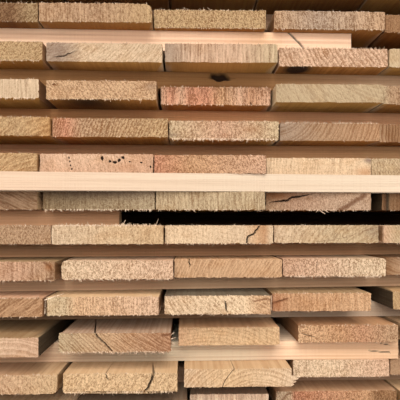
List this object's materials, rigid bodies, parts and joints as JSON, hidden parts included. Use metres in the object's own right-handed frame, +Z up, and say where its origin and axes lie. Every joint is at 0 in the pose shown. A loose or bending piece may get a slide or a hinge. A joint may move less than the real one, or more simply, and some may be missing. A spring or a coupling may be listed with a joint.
{
  "type": "stickered stack of sawn boards",
  "caption": "Stack of rough sawn boards laid in courses, with thin sticks between the courses so that air can dry the wood.",
  "frame": {"origin": "middle of the stack's footprint, on the floor under the lowest boards", "axes": "+Y along the boards, away from the ends that the picture shows; +X to the right along a course as seen from those ends; +Z up"},
  "size_m": [1.1688, 2.606, 0.774],
  "materials": {
    "board": "rough sawn",
    "sticker": "rough sawn"
  },
  "bodies": {
    "root": {"boards_01": "board", "boards_02": "board", "boards_03": "board", "boards_04": "board", "boards_05": "board", "boards_06": "board", "boards_07": "board", "boards_08": "board", "boards_09": "board", "boards_10": "board", "boards_11": "board", "boards_12": "board", "boards_13": "board", "boards_14": "board", "boards_15": "board", "boards_16": "board", "front_sticker_01": "sticker", "front_sticker_02": "sticker", "front_sticker_03": "sticker", "front_sticker_04": "sticker", "front_sticker_05": "sticker", "front_sticker_06": "sticker", "front_sticker_07": "sticker", "front_sticker_08": "sticker", "front_sticker_09": "sticker", "front_sticker_10": "sticker", "front_sticker_11": "sticker", "front_sticker_12": "sticker", "front_sticker_13": "sticker", "front_sticker_14": "sticker", "front_sticker_15": "sticker", "sticker_line_2": "sticker", "sticker_line_3": "sticker", "sticker_line_4": "sticker", "sticker_line_5": "sticker"}
  },
  "joints": []
}
